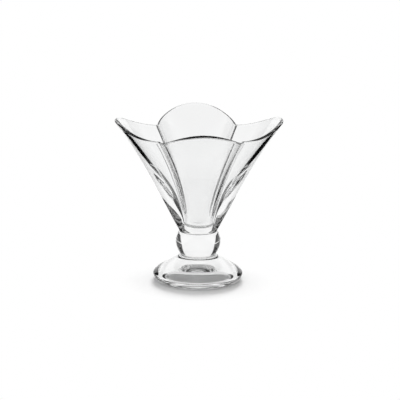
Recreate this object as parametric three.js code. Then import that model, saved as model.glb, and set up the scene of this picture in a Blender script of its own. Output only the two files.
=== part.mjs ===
// A dessert cup of clear pressed glass: a bowl of four petals, a ball stem and a hollow foot,
// fused end to end at two narrow necks. Millimetres, +Z up, standing on z = 0.
import * as THREE from 'three';
import { ParametricGeometry } from 'three/addons/geometries/ParametricGeometry.js';

// Foot
const FOOT_RADIUS = 32.2; // at its widest
const FOOT_EDGE_RADIUS = 4.7; // rounding between the widest circle and the table
const FOOT_DOME_PULL = 3.6; // how far the foot climbs before it turns inwards
const FOOT_NECK_PULL = 4.8; // how far its flank keeps the slope that it has at the neck, down
const FOOT_NECK_LEAN = 3.1; // and outwards
const FOOT_HEIGHT = 19.5; // table to the lower neck
const RESTING_RING_WIDTH = 2.8; // flat ring that the cup stands on
const UNDERSIDE_RISE = 7.5; // height of the hollow inside that ring
const UNDERSIDE_PULL = 16.5; // how far the hollow's roof runs outwards before it turns down

// Ball stem
const LOWER_NECK_RADIUS = 12.7;
const UPPER_NECK_RADIUS = 13.5;
const BALL_BULGE = 2.7; // how far the ball stands out beyond the wider neck
const BALL_LOWER_HEIGHT = 9.6; // lower neck to the ball's widest circle
const BALL_UPPER_HEIGHT = 7; // that circle to the upper neck

// Bowl, outside
const PETALS = 4;
const PETAL_RADIUS = 59.9; // axis to the wall's outer edge at a petal's tip
const BOWL_RISE = 79.7; // upper neck to that edge
const PETAL_SLOPES = [0.54, 0.75]; // sideways travel per millimetre of rise, at the neck and the rim
const NOTCH_RADIUS = 41.4; // axis to the wall's outer edge where two petals meet
const NOTCH_DROP = 10; // a notch below a petal's tip
const CREASE_SLOPES = [0.16, 0.68]; // a crease stands more upright than a petal
const CREASE_EASING = 0.06; // angle over which a crease is rounded
const OUTSIDE_BULGE = -0.04; // a petal's flanks are this share flatter than an arc

// Bowl, inside
const TIP_WALL = 3.6; // wall at a petal's tip
const NOTCH_WALL = 2;
const RIM_CROWN = 1.4; // how far the fire-polished rim bulges past the wall's end
const FLOOR_THICKNESS = 5.8; // solid glass between the upper neck and the bowl's floor
const FLOOR_STEP = 3.2; // the floor is this much narrower than the neck at a petal
const FLOOR_CREASE_STEP = 3.5; // and this much narrower at a crease
const FLOOR_ROUNDING = 3.5;
const HOLLOW_SLOPES = [0.52, 0.62]; // inside of a petal, at the floor and the rim
const RIDGE_SLOPES = [0.14, 0.6]; // each crease shows inside as a ridge
const RIDGE_EASING = 0.03; // sharper than the crease outside
const INSIDE_BULGE = 0.02; // the inside is this share rounder than an arc

// Fineness of the facets
const BOWL_SEGMENTS = 24 * PETALS;
const WALL_STEPS = 13;
const ROUNDING_STEPS = 4;
const STEM_SEGMENTS = 48;
const BALL_STEPS = 6; // above its widest circle, and as many below
const FOOT_SEGMENTS = 64;
const DOME_STEPS = 12;
const HOLLOW_STEPS = 8;

const HALF_PETAL = Math.PI / PETALS;
const RIM_SLOPE = PETAL_SLOPES[1]; // the rim is square to the petals all round
const BALL_MIDDLE = FOOT_HEIGHT + BALL_LOWER_HEIGHT;
const UPPER_NECK = BALL_MIDDLE + BALL_UPPER_HEIGHT;

function glass() {
  return new THREE.MeshStandardMaterial({ color: 0xe4ecec, roughness: 0.05, metalness: 0 });
}

function namedMesh(name, geometry) {
  const mesh = new THREE.Mesh(geometry, glass());
  mesh.name = name;
  return mesh;
}

// A solid of revolution about Z from a profile of (radius, height) points.
function turned(profile, segments) {
  return new THREE.LatheGeometry(profile, segments).rotateX(Math.PI / 2);
}

// A wall's profile from one (radius, height) point up to another, with its slopes at both ends.
function flare(bottom, top, slopes) {
  const handle = (top.y - bottom.y) / 3;
  return new THREE.CubicBezierCurve(
    bottom,
    new THREE.Vector2(bottom.x + slopes[0] * handle, bottom.y + handle),
    new THREE.Vector2(top.x - slopes[1] * handle, top.y - handle),
    top,
  );
}

// The wall's inner edge at the rim, square across the wall from its outer edge.
function acrossRim(outer, wall) {
  const across = new THREE.Vector2(-1, RIM_SLOPE).setLength(wall);
  return outer.clone().add(across);
}

// Points of the rim's rounded crown, from the outer edge over to the inner edge.
function crown(outer, wall) {
  const middle = outer.clone().lerp(acrossRim(outer, wall), 0.5);
  const lean = Math.atan2(1, RIM_SLOPE) - Math.PI / 2;
  const arc = new THREE.EllipseCurve(middle.x, middle.y, wall / 2, RIM_CROWN, 0, Math.PI, false, lean);
  return arc.getPoints(ROUNDING_STEPS).slice(1, -1);
}

// Points of the rounding from the wall down onto the floor, then the middle of the floor.
function floorPoints(radius, height) {
  const arc = new THREE.EllipseCurve(
    radius - FLOOR_ROUNDING, height + FLOOR_ROUNDING, FLOOR_ROUNDING, FLOOR_ROUNDING, 0, -Math.PI / 2, true,
  );
  return [...arc.getPoints(ROUNDING_STEPS).slice(1), new THREE.Vector2(0, height)];
}

// One whole profile of the bowl, from the middle of the neck up the outside, over the rim,
// down the inside and across the floor.
function bowlProfile(rimOuter, wall, outerSlopes, floorRadius, innerSlopes) {
  const neck = new THREE.Vector2(UPPER_NECK_RADIUS, UPPER_NECK);
  const floorHeight = UPPER_NECK + FLOOR_THICKNESS;
  const wallFoot = new THREE.Vector2(floorRadius, floorHeight + FLOOR_ROUNDING);
  const outside = flare(neck, rimOuter, outerSlopes);
  const inside = flare(wallFoot, acrossRim(rimOuter, wall), innerSlopes);
  return [
    new THREE.Vector2(0, UPPER_NECK),
    ...outside.getPoints(WALL_STEPS),
    ...crown(rimOuter, wall),
    ...inside.getPoints(WALL_STEPS).reverse(),
    ...floorPoints(floorRadius, floorHeight),
  ];
}

// Radius of the bowl's plan at an angle from a petal's middle: an arc through the petal's
// radius and the crease's radius, eased round the crease, with its flanks bulging.
function planRadius(angle, petal, crease, easing, bulge) {
  if (petal === 0) return 0;
  const reach = HALF_PETAL - easing;
  const whole = Math.hypot(HALF_PETAL, easing) - easing;
  const left = (Math.hypot(HALF_PETAL - Math.abs(angle), easing) - easing) / whole;
  const eased = reach * (1 - left);
  const centre = (petal ** 2 - crease ** 2) / (2 * (petal - crease * Math.cos(reach)));
  const chord = Math.sqrt((petal - centre) ** 2 - (centre * Math.sin(eased)) ** 2);
  const flank = Math.sin((Math.PI * angle) / HALF_PETAL) ** 2;
  return centre * Math.cos(eased) + chord + bulge * (petal - crease) * flank;
}

function bowl() {
  const tip = new THREE.Vector2(PETAL_RADIUS, UPPER_NECK + BOWL_RISE);
  const notch = new THREE.Vector2(NOTCH_RADIUS, tip.y - NOTCH_DROP);
  const petalFloor = UPPER_NECK_RADIUS - FLOOR_STEP;
  const creaseFloor = UPPER_NECK_RADIUS - FLOOR_CREASE_STEP;
  const petals = bowlProfile(tip, TIP_WALL, PETAL_SLOPES, petalFloor, HOLLOW_SLOPES);
  const creases = bowlProfile(notch, NOTCH_WALL, CREASE_SLOPES, creaseFloor, RIDGE_SLOPES);
  const rings = petals.length - 1;
  const surface = (around, along, target) => {
    const ring = Math.round(along * rings);
    const turn = around * 2 * Math.PI;
    const angle = (turn % (2 * HALF_PETAL)) - HALF_PETAL;
    const inside = THREE.MathUtils.clamp((ring - 1 - WALL_STEPS) / ROUNDING_STEPS, 0, 1);
    const easing = THREE.MathUtils.lerp(CREASE_EASING, RIDGE_EASING, inside);
    const bulge = THREE.MathUtils.lerp(OUTSIDE_BULGE, INSIDE_BULGE, inside);
    const radius = planRadius(angle, petals[ring].x, creases[ring].x, easing, bulge);
    const dip = Math.sin((PETALS * angle) / 2) ** 2;
    const height = THREE.MathUtils.lerp(petals[ring].y, creases[ring].y, dip);
    target.set(radius * Math.cos(turn), radius * Math.sin(turn), height);
  };
  return namedMesh('bowl', new ParametricGeometry(surface, BOWL_SEGMENTS, rings));
}

// Two half ellipses about the axis, from the ball's widest circle down and up to the necks.
function ballStem() {
  const radius = Math.max(LOWER_NECK_RADIUS, UPPER_NECK_RADIUS) + BALL_BULGE;
  const below = Math.acos(LOWER_NECK_RADIUS / radius);
  const above = Math.acos(UPPER_NECK_RADIUS / radius);
  const depth = BALL_LOWER_HEIGHT / Math.sin(below);
  const height = BALL_UPPER_HEIGHT / Math.sin(above);
  const lower = new THREE.EllipseCurve(0, BALL_MIDDLE, radius, depth, -below, 0);
  const upper = new THREE.EllipseCurve(0, BALL_MIDDLE, radius, height, 0, above);
  const profile = [
    new THREE.Vector2(0, FOOT_HEIGHT),
    ...lower.getPoints(BALL_STEPS),
    ...upper.getPoints(BALL_STEPS).slice(1),
    new THREE.Vector2(0, UPPER_NECK),
  ];
  return namedMesh('ball_stem', turned(profile, STEM_SEGMENTS));
}

function foot() {
  const ringOuter = FOOT_RADIUS - FOOT_EDGE_RADIUS;
  const ringInner = ringOuter - RESTING_RING_WIDTH;
  const underside = new THREE.QuadraticBezierCurve(
    new THREE.Vector2(0, UNDERSIDE_RISE),
    new THREE.Vector2(UNDERSIDE_PULL, UNDERSIDE_RISE),
    new THREE.Vector2(ringInner, 0),
  );
  const edge = new THREE.EllipseCurve(
    ringOuter, FOOT_EDGE_RADIUS, FOOT_EDGE_RADIUS, FOOT_EDGE_RADIUS, -Math.PI / 2, 0,
  );
  const dome = new THREE.CubicBezierCurve(
    new THREE.Vector2(FOOT_RADIUS, FOOT_EDGE_RADIUS),
    new THREE.Vector2(FOOT_RADIUS, FOOT_EDGE_RADIUS + FOOT_DOME_PULL),
    new THREE.Vector2(LOWER_NECK_RADIUS + FOOT_NECK_LEAN, FOOT_HEIGHT - FOOT_NECK_PULL),
    new THREE.Vector2(LOWER_NECK_RADIUS, FOOT_HEIGHT),
  );
  const profile = [
    ...underside.getPoints(HOLLOW_STEPS),
    ...edge.getPoints(ROUNDING_STEPS),
    ...dome.getPoints(DOME_STEPS).slice(1),
    new THREE.Vector2(0, FOOT_HEIGHT),
  ];
  return namedMesh('foot', turned(profile, FOOT_SEGMENTS));
}

const cup = new THREE.Group();
cup.add(bowl(), ballStem(), foot());
export default cup;
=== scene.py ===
import math

import bpy
from mathutils import Matrix, Vector


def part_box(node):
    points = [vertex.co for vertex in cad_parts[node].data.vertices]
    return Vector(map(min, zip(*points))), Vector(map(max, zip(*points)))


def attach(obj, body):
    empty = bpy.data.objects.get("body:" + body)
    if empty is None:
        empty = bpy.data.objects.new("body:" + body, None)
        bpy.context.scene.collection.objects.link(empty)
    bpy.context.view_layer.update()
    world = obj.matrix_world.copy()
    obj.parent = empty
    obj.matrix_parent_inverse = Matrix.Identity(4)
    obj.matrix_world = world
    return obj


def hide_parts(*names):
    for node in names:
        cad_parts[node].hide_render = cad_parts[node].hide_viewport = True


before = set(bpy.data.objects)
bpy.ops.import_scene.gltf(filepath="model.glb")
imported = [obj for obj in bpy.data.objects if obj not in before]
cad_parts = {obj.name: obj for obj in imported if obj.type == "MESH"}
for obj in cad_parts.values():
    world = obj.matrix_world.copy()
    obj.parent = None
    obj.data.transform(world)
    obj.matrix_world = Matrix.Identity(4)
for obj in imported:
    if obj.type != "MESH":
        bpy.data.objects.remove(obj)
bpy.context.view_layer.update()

# Lengths are in metres. What the frame gives is read from it; the rest is named here.
FOOT_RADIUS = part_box("foot")[1][0]
LOWER_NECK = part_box("foot")[1][2]
BALL_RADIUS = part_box("ball_stem")[1][0]
UPPER_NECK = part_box("ball_stem")[1][2]

# Foot
FOOT_EDGE_RADIUS = 0.0047  # rounding between the widest circle and the table
FOOT_DOME_PULL = 0.0036  # how far the foot climbs before it turns inwards
FOOT_NECK_PULL = 0.0048  # how far its flank keeps the slope that it has at the neck, down
FOOT_NECK_LEAN = 0.0031  # and outwards
RESTING_RING_WIDTH = 0.0028  # flat ring that the cup stands on
UNDERSIDE_RISE = 0.0075  # height of the hollow inside that ring
UNDERSIDE_PULL = 0.0165  # how far the hollow's roof runs outwards before it turns down

# Ball stem
LOWER_NECK_RADIUS = 0.0127
UPPER_NECK_RADIUS = 0.0135
BALL_LOWER_HEIGHT = 0.0096  # lower neck to the ball's widest circle

# Bowl, outside
PETALS = 4
PETAL_RADIUS = 0.0599  # axis to the wall's outer edge at a petal's tip
BOWL_RISE = 0.0797  # upper neck to that edge
PETAL_SLOPES = (0.54, 0.75)  # sideways travel per metre of rise, at the neck and the rim
NOTCH_RADIUS = 0.0414  # axis to the wall's outer edge where two petals meet
NOTCH_DROP = 0.01  # a notch below a petal's tip
CREASE_SLOPES = (0.16, 0.68)  # a crease stands more upright than a petal
CREASE_EASING = 0.06  # angle over which a crease is rounded
OUTSIDE_BULGE = -0.04  # a petal's flanks are this share flatter than an arc

# Bowl, inside
TIP_WALL = 0.0036  # wall at a petal's tip
NOTCH_WALL = 0.002
RIM_CROWN = 0.0014  # how far the fire-polished rim bulges past the wall's end
FLOOR_THICKNESS = 0.0058  # solid glass between the upper neck and the bowl's floor
FLOOR_STEP = 0.0032  # the floor is this much narrower than the neck at a petal
FLOOR_CREASE_STEP = 0.0035  # and this much narrower at a crease
FLOOR_ROUNDING = 0.0035
HOLLOW_SLOPES = (0.52, 0.62)  # inside of a petal, at the floor and the rim
RIDGE_SLOPES = (0.14, 0.6)  # each crease shows inside as a ridge
RIDGE_EASING = 0.03  # sharper than the crease outside
INSIDE_BULGE = 0.02  # the inside is this share rounder than an arc
HALF_PETAL = math.pi / PETALS

# Fineness of the meshes
BOWL_SEGMENTS = 96 * PETALS
ROUND_SEGMENTS = 192
WALL_STEPS = 60
BALL_STEPS = 24  # above its widest circle, and as many below
ROUNDING_STEPS = 12

# Glass
GLASS_TINT = (0.949, 0.952, 0.952, 1)
GLASS_IOR = 1.5
WAVE_SCALE = 90.0  # slight waves that pressing leaves in the surface
WAVE_STRENGTH = 0.05
WAVE_DEPTH = 0.0005
LIGHT_BOUNCES = 64
MIRROR_BOUNCES = 8  # light runs a long way along the inside of a wall

# The camera, fitted to the photograph.
VIEW_AZIMUTH = math.radians(221.8)
VIEW_ELEVATION = math.radians(14.0)
VIEW_ROLL = math.radians(0.5)
VIEW_DISTANCE = 1.4354
AIM_HEIGHT = 0.0586
AIM_RIGHT = 0.0011
LENS_MM = 180.0
SENSOR_MM = 36.0
NEAR_CLIP = 0.01

# The white set round the cup and its light.
AMBIENT_LEVEL = 0.71  # light of the set on a surface
COVE_ANGLES = (30, 52)  # above the horizon, between which the set turns from white to its ceiling
CEILING_LEVEL = 0.25
FLOOR_SIZE = 4.0  # from the cup to each edge
FLOOR_GREY = (0.9, 0.9, 0.9, 1)
FLOOR_WHITE = (0.036, 0.06)  # distances from the cup between which the floor turns plain white
LAMP_PLACE = (0.05, 0.8, 0.42)  # to the right of the cup, behind it and above the floor
LAMP_SIZE = 0.35
LAMP_WATTS = 8.0

# The dark cards on both sides, as the camera sees them: one lies flat and one stands at its far edge.
CARD_NEAR = 0.04  # sideways from the cup
CARD_FAR = 0.45
CARD_FRONT = -0.12
CARD_BACK = 0.67
CARD_HEIGHT = 0.45
CARD_LIFT = 0.0005  # the flat card clears the floor
CARD_BLACK = (0.02, 0.02, 0.02, 1)
CARD_FADES = ((33, 36), (95, 70))  # clear and dark angles from straight behind the cup, at both ends
FLAT_CARD_FADE = (0.42, 0.26)  # clear and dark distances from the cup
UPRIGHT_CARD_FADE = (0.1, 0.2)  # dark wherever it stands


def bezier(p0, p1, p2, p3, steps):
    """Points of a cubic curve of (radius, height) points, both ends included."""
    points = []
    for step in range(steps + 1):
        t = step / steps
        weights = ((1 - t) ** 3, 3 * (1 - t) ** 2 * t, 3 * (1 - t) * t ** 2, t ** 3)
        points.append(tuple(sum(w * p[k] for w, p in zip(weights, (p0, p1, p2, p3))) for k in (0, 1)))
    return points


def arc(centre, along, across, start, end, steps):
    """Points of an elliptic arc: along and across are its half axes as vectors."""
    points = []
    for step in range(steps + 1):
        angle = start + (end - start) * step / steps
        cosine, sine = math.cos(angle), math.sin(angle)
        points.append(tuple(centre[k] + along[k] * cosine + across[k] * sine for k in (0, 1)))
    return points


def flare(bottom, top, slopes, steps):
    """A wall's profile between two points, with its sideways slope at the bottom and at the top."""
    handle = (top[1] - bottom[1]) / 3
    return bezier(
        bottom,
        (bottom[0] + slopes[0] * handle, bottom[1] + handle),
        (top[0] - slopes[1] * handle, top[1] - handle),
        top,
        steps,
    )


def bowl_profile(rim_outer, wall, outer_slopes, floor_radius, inner_slopes):
    """One profile of the bowl: up the outside from the neck, over the rim, down to the floor."""
    rim_slope = PETAL_SLOPES[1]
    length = math.hypot(1, rim_slope)
    across = (-wall / length, rim_slope * wall / length)
    outward = (RIM_CROWN * rim_slope / length, RIM_CROWN / length)
    rim_inner = (rim_outer[0] + across[0], rim_outer[1] + across[1])
    rim_middle = (rim_outer[0] + across[0] / 2, rim_outer[1] + across[1] / 2)
    floor = UPPER_NECK + FLOOR_THICKNESS
    outside = flare((UPPER_NECK_RADIUS, UPPER_NECK), rim_outer, outer_slopes, WALL_STEPS)
    crown = arc(rim_middle, (-across[0] / 2, -across[1] / 2), outward, 0, math.pi, ROUNDING_STEPS)
    inside = flare((floor_radius, floor + FLOOR_ROUNDING), rim_inner, inner_slopes, WALL_STEPS)
    rounding = arc(
        (floor_radius - FLOOR_ROUNDING, floor + FLOOR_ROUNDING),
        (FLOOR_ROUNDING, 0), (0, -FLOOR_ROUNDING), 0, math.pi / 2, ROUNDING_STEPS,
    )
    return outside + crown[1:-1] + inside[::-1] + rounding[1:]


def plan_radius(angle, petal, crease, easing, bulge):
    """Radius of the bowl's plan at an angle from a petal's middle.

    It is an arc, eased round the crease, which bulges between the petal's middle and the crease.
    """
    reach = HALF_PETAL - easing
    whole = math.hypot(HALF_PETAL, easing) - easing
    left = (math.hypot(HALF_PETAL - abs(angle), easing) - easing) / whole
    eased = reach * (1 - left)
    centre = (petal ** 2 - crease ** 2) / (2 * (petal - crease * math.cos(reach)))
    chord = math.sqrt((petal - centre) ** 2 - (centre * math.sin(eased)) ** 2)
    flank = math.sin(math.pi * angle / HALF_PETAL) ** 2
    return centre * math.cos(eased) + chord + bulge * (petal - crease) * flank


def petal_ring(petal, crease, easing, bulge):
    """One closed ring of the bowl, from its (radius, height) at a petal's middle and at a crease."""
    ring = []
    for step in range(BOWL_SEGMENTS):
        turn = 2 * math.pi * step / BOWL_SEGMENTS
        angle = turn % (2 * HALF_PETAL) - HALF_PETAL
        radius = plan_radius(angle, petal[0], crease[0], easing, bulge)
        dip = math.sin(PETALS * angle / 2) ** 2
        height = petal[1] + (crease[1] - petal[1]) * dip
        ring.append((radius * math.cos(turn), radius * math.sin(turn), height))
    return ring


def round_ring(point):
    """One circle of a turned piece."""
    turns = [2 * math.pi * step / ROUND_SEGMENTS for step in range(ROUND_SEGMENTS)]
    return [(point[0] * math.cos(turn), point[0] * math.sin(turn), point[1]) for turn in turns]


def lofted(name, rings, glass, first_cap, last_cap):
    """A closed mesh through rings of equal count, with a flat cap of a given material at each end."""
    count = len(rings[0])
    verts = [vert for ring in rings for vert in ring]
    faces = []
    for ring in range(len(rings) - 1):
        low, high = ring * count, (ring + 1) * count
        for step in range(count):
            after = (step + 1) % count
            faces.append((low + step, low + after, high + after, high + step))
    sides = len(faces)
    last = (len(rings) - 1) * count
    faces.append(tuple(reversed(range(count))))
    faces.append(tuple(range(last, last + count)))
    mesh = bpy.data.meshes.new(name)
    mesh.from_pydata(verts, [], faces)
    for material in (glass, first_cap, last_cap):
        mesh.materials.append(material)
    for index, face in enumerate(mesh.polygons):
        face.use_smooth = index < sides
        face.material_index = max(0, index - sides + 1)
    piece = bpy.data.objects.new(name, mesh)
    bpy.context.scene.collection.objects.link(piece)
    return piece


def make_bowl(glass, fused):
    tip = (PETAL_RADIUS, UPPER_NECK + BOWL_RISE)
    notch = (NOTCH_RADIUS, tip[1] - NOTCH_DROP)
    petal_floor = UPPER_NECK_RADIUS - FLOOR_STEP
    crease_floor = UPPER_NECK_RADIUS - FLOOR_CREASE_STEP
    petals = bowl_profile(tip, TIP_WALL, PETAL_SLOPES, petal_floor, HOLLOW_SLOPES)
    creases = bowl_profile(notch, NOTCH_WALL, CREASE_SLOPES, crease_floor, RIDGE_SLOPES)
    rings = []
    for index, (petal, crease) in enumerate(zip(petals, creases)):
        inside = min(1, max(0, (index - WALL_STEPS) / ROUNDING_STEPS))
        easing = CREASE_EASING + inside * (RIDGE_EASING - CREASE_EASING)
        bulge = OUTSIDE_BULGE + inside * (INSIDE_BULGE - OUTSIDE_BULGE)
        rings.append(petal_ring(petal, crease, easing, bulge))
    return lofted("glass_bowl", rings, glass, fused, glass)


def make_ball(glass, fused):
    middle = (0, LOWER_NECK + BALL_LOWER_HEIGHT)
    below = math.acos(LOWER_NECK_RADIUS / BALL_RADIUS)
    above = math.acos(UPPER_NECK_RADIUS / BALL_RADIUS)
    depth = BALL_LOWER_HEIGHT / math.sin(below)
    height = (UPPER_NECK - middle[1]) / math.sin(above)
    lower = arc(middle, (BALL_RADIUS, 0), (0, depth), -below, 0, BALL_STEPS)
    upper = arc(middle, (BALL_RADIUS, 0), (0, height), 0, above, BALL_STEPS)
    rings = [round_ring(point) for point in lower + upper[1:]]
    return lofted("glass_ball_stem", rings, glass, fused, fused)


def make_foot(glass, fused):
    ring_outer = FOOT_RADIUS - FOOT_EDGE_RADIUS
    ring_inner = ring_outer - RESTING_RING_WIDTH
    hollow = []
    for step in range(1, WALL_STEPS + 1):
        t = step / WALL_STEPS
        radius = 2 * t * (1 - t) * UNDERSIDE_PULL + t * t * ring_inner
        hollow.append((radius, UNDERSIDE_RISE * (1 - t * t)))
    edge = arc(
        (ring_outer, FOOT_EDGE_RADIUS), (FOOT_EDGE_RADIUS, 0), (0, FOOT_EDGE_RADIUS),
        -math.pi / 2, 0, ROUNDING_STEPS,
    )
    dome = bezier(
        (FOOT_RADIUS, FOOT_EDGE_RADIUS),
        (FOOT_RADIUS, FOOT_EDGE_RADIUS + FOOT_DOME_PULL),
        (LOWER_NECK_RADIUS + FOOT_NECK_LEAN, LOWER_NECK - FOOT_NECK_PULL),
        (LOWER_NECK_RADIUS, LOWER_NECK),
        WALL_STEPS,
    )
    rings = [round_ring(point) for point in hollow + edge + dome[1:]]
    return lofted("glass_foot", rings, glass, glass, fused)


def clear_glass():
    material = bpy.data.materials.new("clear_pressed_glass")
    material.use_nodes = True
    nodes, links = material.node_tree.nodes, material.node_tree.links
    shader = nodes["Principled BSDF"]
    shader.inputs["Base Color"].default_value = GLASS_TINT
    shader.inputs["Roughness"].default_value = 0.0
    shader.inputs["IOR"].default_value = GLASS_IOR
    shader.inputs["Transmission Weight"].default_value = 1.0
    place = nodes.new("ShaderNodeTexCoord")
    waves = nodes.new("ShaderNodeTexNoise")
    waves.inputs["Scale"].default_value = WAVE_SCALE
    bump = nodes.new("ShaderNodeBump")
    bump.inputs["Strength"].default_value = WAVE_STRENGTH
    bump.inputs["Distance"].default_value = WAVE_DEPTH
    links.new(place.outputs["Object"], waves.inputs["Vector"])
    links.new(waves.outputs["Fac"], bump.inputs["Height"])
    links.new(bump.outputs["Normal"], shader.inputs["Normal"])
    return material


def bare_material(name):
    """A new material without a shader, with its nodes and links."""
    material = bpy.data.materials.new(name)
    material.use_nodes = True
    nodes, links = material.node_tree.nodes, material.node_tree.links
    nodes.remove(nodes["Principled BSDF"])
    return material, nodes, links


def mix_shaders(nodes, links, share, first, second):
    """Gives a material two shaders, with a share of the second."""
    mix = nodes.new("ShaderNodeMixShader")
    links.new(share, mix.inputs["Fac"])
    links.new(first.outputs[0], mix.inputs[1])
    links.new(second.outputs[0], mix.inputs[2])
    links.new(mix.outputs["Shader"], nodes["Material Output"].inputs["Surface"])


def math_node(nodes, links, operation, first, second):
    node = nodes.new("ShaderNodeMath")
    node.operation = operation
    links.new(first, node.inputs[0])
    links.new(second, node.inputs[1])
    return node


def soft_step(nodes, links, value, start, end):
    """A node that turns softly from 0 to 1 while a value goes from start to end."""
    step = nodes.new("ShaderNodeMapRange")
    step.interpolation_type = "SMOOTHSTEP"
    step.inputs["From Min"].default_value = start
    step.inputs["From Max"].default_value = end
    links.new(value, step.inputs["Value"])
    return step


def distance(nodes, links, place):
    """How far a place is from the origin."""
    reach = nodes.new("ShaderNodeVectorMath")
    reach.operation = "LENGTH"
    links.new(place, reach.inputs[0])
    return reach.outputs["Value"]


def seen_ray(nodes, links):
    """1 for rays that show the background: to the camera, mirrored, or through glass.

    Rays that light a surface count as 0, also where glass stands between it and the light.
    """
    path = nodes.new("ShaderNodeLightPath").outputs
    either = math_node(nodes, links, "MAXIMUM", path["Is Camera Ray"], path["Is Glossy Ray"])
    shown = math_node(nodes, links, "MAXIMUM", either.outputs[0], path["Is Transmission Ray"])
    direct = math_node(nodes, links, "SUBTRACT", shown.outputs[0], path["Diffuse Depth"])
    direct.use_clamp = True
    return direct.outputs[0]


def fused_joint():
    """The face where two gathers of glass are fused: light passes it unchanged."""
    material, nodes, links = bare_material("fused_joint")
    clear = nodes.new("ShaderNodeBsdfTransparent")
    links.new(clear.outputs["BSDF"], nodes["Material Output"].inputs["Surface"])
    return material


def pale_floor():
    """A pale floor that takes the shadow near the cup and is plain white further out."""
    material, nodes, links = bare_material("pale_floor")
    diffuse = nodes.new("ShaderNodeBsdfDiffuse")
    diffuse.inputs["Color"].default_value = FLOOR_GREY
    place = nodes.new("ShaderNodeNewGeometry")
    reach = distance(nodes, links, place.outputs["Position"])
    far = soft_step(nodes, links, reach, *FLOOR_WHITE)
    white = math_node(nodes, links, "MULTIPLY", far.outputs["Result"], seen_ray(nodes, links))
    glow = nodes.new("ShaderNodeEmission")
    mix_shaders(nodes, links, white.outputs[0], diffuse, glow)
    return material


def card_black(reach_fade):
    """Black that fades out by the angle from straight behind the cup and by the distance from it."""
    material, nodes, links = bare_material("card_black")
    place = nodes.new("ShaderNodeTexCoord").outputs["Object"]
    parts = nodes.new("ShaderNodeSeparateXYZ")
    links.new(place, parts.inputs["Vector"])
    aside = nodes.new("ShaderNodeMath")
    aside.operation = "ABSOLUTE"
    links.new(parts.outputs["X"], aside.inputs[0])
    angle = math_node(nodes, links, "ARCTAN2", aside.outputs[0], parts.outputs["Y"])
    ends = [
        soft_step(nodes, links, angle.outputs[0], math.radians(clear), math.radians(dark)).outputs["Result"]
        for clear, dark in CARD_FADES
    ]
    shade = math_node(nodes, links, "MULTIPLY", *ends)
    far = soft_step(nodes, links, distance(nodes, links, place), *reach_fade)
    links.new(shade.outputs[0], far.inputs["To Max"])
    gone = nodes.new("ShaderNodeBsdfTransparent")
    black = nodes.new("ShaderNodeBsdfDiffuse")
    black.inputs["Color"].default_value = CARD_BLACK
    mix_shaders(nodes, links, far.outputs["Result"], gone, black)
    return material


def flat_piece(name, corners, material):
    """A piece of the set with a single face."""
    mesh = bpy.data.meshes.new(name)
    mesh.from_pydata(corners, [], [tuple(range(len(corners)))])
    mesh.materials.append(material)
    piece = bpy.data.objects.new(name, mesh)
    bpy.context.scene.collection.objects.link(piece)
    return piece


def make_camera():
    sine, cosine = math.sin(VIEW_ELEVATION), math.cos(VIEW_ELEVATION)
    back = Vector((math.sin(VIEW_AZIMUTH) * cosine, -math.cos(VIEW_AZIMUTH) * cosine, sine))
    right = Vector((math.cos(VIEW_AZIMUTH), math.sin(VIEW_AZIMUTH), 0))
    up = back.cross(right)
    aim = Vector((0, 0, AIM_HEIGHT)) + right * AIM_RIGHT
    rolled_right = right * math.cos(VIEW_ROLL) + up * math.sin(VIEW_ROLL)
    rolled_up = up * math.cos(VIEW_ROLL) - right * math.sin(VIEW_ROLL)
    data = bpy.data.cameras.new("camera")
    data.lens = LENS_MM
    data.sensor_width = SENSOR_MM
    data.clip_start = NEAR_CLIP
    camera = bpy.data.objects.new("camera", data)
    turn = Matrix((rolled_right, rolled_up, back)).transposed().to_4x4()
    camera.matrix_world = Matrix.Translation(aim + back * VIEW_DISTANCE) @ turn
    bpy.context.scene.collection.objects.link(camera)
    bpy.context.scene.camera = camera


def make_world():
    """White all round for what is seen, darker overhead, and an even level for what it lights."""
    world = bpy.data.worlds.new("studio")
    bpy.context.scene.world = world
    world.use_nodes = True
    nodes, links = world.node_tree.nodes, world.node_tree.links
    direction = nodes.new("ShaderNodeTexCoord")
    height = nodes.new("ShaderNodeSeparateXYZ")
    links.new(direction.outputs["Generated"], height.inputs["Vector"])
    low, high = (math.sin(math.radians(angle)) for angle in COVE_ANGLES)
    cove = soft_step(nodes, links, height.outputs["Z"], low, high)
    cove.inputs["To Min"].default_value = 1.0
    cove.inputs["To Max"].default_value = CEILING_LEVEL
    level = nodes.new("ShaderNodeMapRange")
    level.inputs["To Min"].default_value = AMBIENT_LEVEL
    links.new(cove.outputs["Result"], level.inputs["To Max"])
    links.new(seen_ray(nodes, links), level.inputs["Value"])
    background = nodes["Background"]
    background.inputs["Color"].default_value = (1, 1, 1, 1)
    links.new(level.outputs["Result"], background.inputs["Strength"])


def make_floor():
    corners = [(x * FLOOR_SIZE, y * FLOOR_SIZE, 0) for x, y in ((-1, -1), (1, -1), (1, 1), (-1, 1))]
    floor = flat_piece("floor", corners, pale_floor())


def dark_card(name, corners, black):
    """A card beside the cup that only the glass sees, for dark edges on a white set."""
    card = flat_piece(name, corners, black)
    card.rotation_euler.z = VIEW_AZIMUTH
    card.visible_camera = False
    card.visible_diffuse = False
    card.visible_shadow = False


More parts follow.
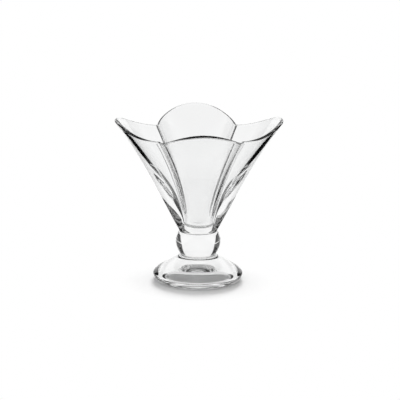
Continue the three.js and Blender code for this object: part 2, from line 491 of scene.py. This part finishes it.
def make_cards():
    flat_black = card_black(FLAT_CARD_FADE)
    upright_black = card_black(UPRIGHT_CARD_FADE)
    for name, side in (("card_left", -1), ("card_right", 1)):
        near, far = side * CARD_NEAR, side * CARD_FAR
        dark_card(name + "_flat", [
            (near, CARD_FRONT, CARD_LIFT),
            (near, CARD_BACK, CARD_LIFT),
            (far, CARD_BACK, CARD_LIFT),
            (far, CARD_FRONT, CARD_LIFT),
        ], flat_black)
        dark_card(name + "_upright", [
            (far, CARD_FRONT, 0),
            (far, CARD_BACK, 0),
            (far, CARD_BACK, CARD_HEIGHT),
            (far, CARD_FRONT, CARD_HEIGHT),
        ], upright_black)


def set_place(right, behind, height):
    """A point of the studio set: to the right of the cup and behind it, as the camera sees them."""
    across = Vector((math.cos(VIEW_AZIMUTH), math.sin(VIEW_AZIMUTH), 0))
    away = Vector((-math.sin(VIEW_AZIMUTH), math.cos(VIEW_AZIMUTH), 0))
    return across * right + away * behind + Vector((0, 0, height))


def make_softbox():
    """A lamp behind the cup for the shadow in front of it. The glass doesn't show it."""
    data = bpy.data.lights.new("softbox", "AREA")
    data.shape = "DISK"
    data.size = LAMP_SIZE
    data.energy = LAMP_WATTS
    lamp = bpy.data.objects.new("softbox", data)
    lamp.visible_glossy = False
    lamp.visible_transmission = False
    place = set_place(*LAMP_PLACE)
    lamp.location = place
    lamp.rotation_euler = (-place).to_track_quat("-Z", "Y").to_euler()
    bpy.context.scene.collection.objects.link(lamp)


make_camera()
make_world()
make_floor()
make_cards()
make_softbox()

glass = clear_glass()
fused = fused_joint()
for make, node in ((make_bowl, "bowl"), (make_ball, "ball_stem"), (make_foot, "foot")):
    piece = make(glass, fused)
    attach(piece, "root")
    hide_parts(node)
    piece.visible_shadow = node == "foot"

bpy.context.scene.view_settings.view_transform = "Standard"
bpy.context.scene.cycles.max_bounces = LIGHT_BOUNCES
bpy.context.scene.cycles.transmission_bounces = LIGHT_BOUNCES
bpy.context.scene.cycles.glossy_bounces = MIRROR_BOUNCES
